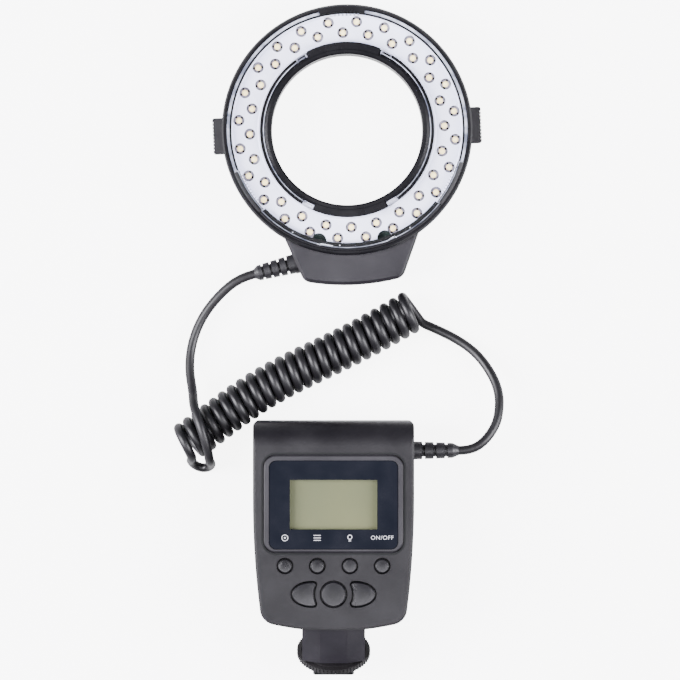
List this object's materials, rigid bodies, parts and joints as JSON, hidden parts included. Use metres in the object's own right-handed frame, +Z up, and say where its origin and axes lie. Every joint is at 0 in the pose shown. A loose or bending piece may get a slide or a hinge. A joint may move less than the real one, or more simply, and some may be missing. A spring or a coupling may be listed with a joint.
{
  "type": "macro_ring_flash",
  "caption": "Macro LED ring flash: ring head with lens bore and release buttons, coiled cord, and a controller with display, keys and hot-shoe foot.",
  "frame": {"origin": "Table level under the middle of the ring head and controller set (the cord left out).", "axes": "+Z up from the table, the side the lamps and keys face; +Y from the controller's foot to the ring head; +X to the picture's right."},
  "size_m": [0.1497, 0.3029, 0.0408],
  "materials": {
    "black_plastic": "satin moulded black",
    "button_plastic": "fine matt black",
    "yoke_plastic": "dark grey nylon",
    "cord_rubber": "satin black PVC jacket",
    "white_plastic": "white reflector moulding",
    "led_phosphor": "cream phosphor in white package",
    "circuit_board": "dark green solder mask",
    "clear_plastic": "clear acrylic",
    "window_glass": "smoked blue-black acrylic",
    "lcd_face": "olive reflective LCD, blank",
    "switch_metal": "nickel-plated spring steel",
    "cell_jacket": "plain grey sleeve",
    "foot_metal": "black-coated steel",
    "wheel_plastic": "matt black, knurled edge",
    "screw_steel": "black-zinc screw",
    "pin_brass": "gold-plated contact pin"
  },
  "bodies": {
    "flash": {"ring_rear_housing": "black_plastic", "ring_front_bezel": "black_plastic", "pod_front_cover": "black_plastic", "inner_collar": "black_plastic", "reflector_plate": "white_plastic", "led_board": "circuit_board", "leds": "led_phosphor", "clear_front_cover": "clear_plastic", "driver_board": "circuit_board", "ring_screws": "screw_steel", "head_strain_relief": "cord_rubber", "cord_head_lead": "cord_rubber", "cord_coil": "cord_rubber", "cord_controller_lead": "cord_rubber", "controller_strain_relief": "cord_rubber", "controller_panel_shell": "black_plastic", "controller_base_shell": "black_plastic", "window_bezel": "black_plastic", "display_window": "window_glass", "lcd_module": "lcd_face", "key_board": "circuit_board", "key_switches": "switch_metal", "battery_tray": "white_plastic", "aa_cells": "cell_jacket", "battery_contacts": "switch_metal", "shell_screws": "screw_steel", "foot_stem": "black_plastic", "shoe_foot": "foot_metal", "foot_screws": "screw_steel", "left_release_spring": "switch_metal", "right_release_spring": "switch_metal", "sync_spring": "switch_metal"},
    "left_release": {"left_release_button": "button_plastic", "left_claw_yoke": "yoke_plastic"},
    "right_release": {"right_release_button": "button_plastic", "right_claw_yoke": "yoke_plastic"},
    "washer": {"clamp_washer": "foot_metal"},
    "wheel": {"lock_wheel": "wheel_plastic"},
    "pin": {"sync_pin": "pin_brass"},
    "door": {"battery_door": "black_plastic"},
    "pilot": {"pilot_key": "button_plastic"},
    "mode": {"mode_key": "button_plastic"},
    "backlight": {"backlight_key": "button_plastic"},
    "power": {"power_key": "button_plastic"},
    "decrease": {"decrease_key": "button_plastic"},
    "test": {"test_key": "button_plastic"},
    "increase": {"increase_key": "button_plastic"}
  },
  "joints": [
    {"name": "left_release_slide", "type": "slide", "parent": "flash", "child": "left_release", "axis": [0.999, 0.0436, 0], "range_m": [0, 0.002], "stiffness_N_per_m": 700, "deforming": ["left_release_spring"]},
    {"name": "right_release_slide", "type": "slide", "parent": "flash", "child": "right_release", "axis": [-0.999, -0.0436, 0], "range_m": [0, 0.002], "stiffness_N_per_m": 700, "deforming": ["right_release_spring"]},
    {"name": "pilot_press", "type": "slide", "parent": "flash", "child": "pilot", "axis": [0, 0, -1], "range_m": [0, 0.0006], "stiffness_N_per_m": 500},
    {"name": "mode_press", "type": "slide", "parent": "flash", "child": "mode", "axis": [0, 0, -1], "range_m": [0, 0.0006], "stiffness_N_per_m": 500},
    {"name": "backlight_press", "type": "slide", "parent": "flash", "child": "backlight", "axis": [0, 0, -1], "range_m": [0, 0.0006], "stiffness_N_per_m": 500},
    {"name": "power_press", "type": "slide", "parent": "flash", "child": "power", "axis": [0, 0, -1], "range_m": [0, 0.0006], "stiffness_N_per_m": 500},
    {"name": "decrease_press", "type": "slide", "parent": "flash", "child": "decrease", "axis": [0, 0, -1], "range_m": [0, 0.0006], "stiffness_N_per_m": 500},
    {"name": "test_press", "type": "slide", "parent": "flash", "child": "test", "axis": [0, 0, -1], "range_m": [0, 0.0006], "stiffness_N_per_m": 500},
    {"name": "increase_press", "type": "slide", "parent": "flash", "child": "increase", "axis": [0, 0, -1], "range_m": [0, 0.0006], "stiffness_N_per_m": 500},
    {"name": "washer_clamp", "type": "slide", "parent": "flash", "child": "washer", "axis": [0, -0.8387, -0.5446], "range_m": [0, 0.00125]},
    {"name": "wheel_turn", "type": "hinge", "parent": "washer", "child": "wheel", "pos_m": [-0.0061, -0.14074, 0.01535], "axis": [0, -0.8387, -0.5446], "range_deg": [0, 360]},
    {"name": "pin_press", "type": "slide", "parent": "flash", "child": "pin", "axis": [0, 0.8387, 0.5446], "range_m": [0, 0.0007], "stiffness_N_per_m": 400, "deforming": ["sync_spring"]},
    {"name": "door_slide", "type": "slide", "parent": "flash", "child": "door", "axis": [0, -1, 0], "range_m": [0, 0.012]}
  ],
  "couplings": [
    {"joint": "wheel_turn", "follows": "washer_clamp", "rad_per_m": 5026.5}
  ]
}
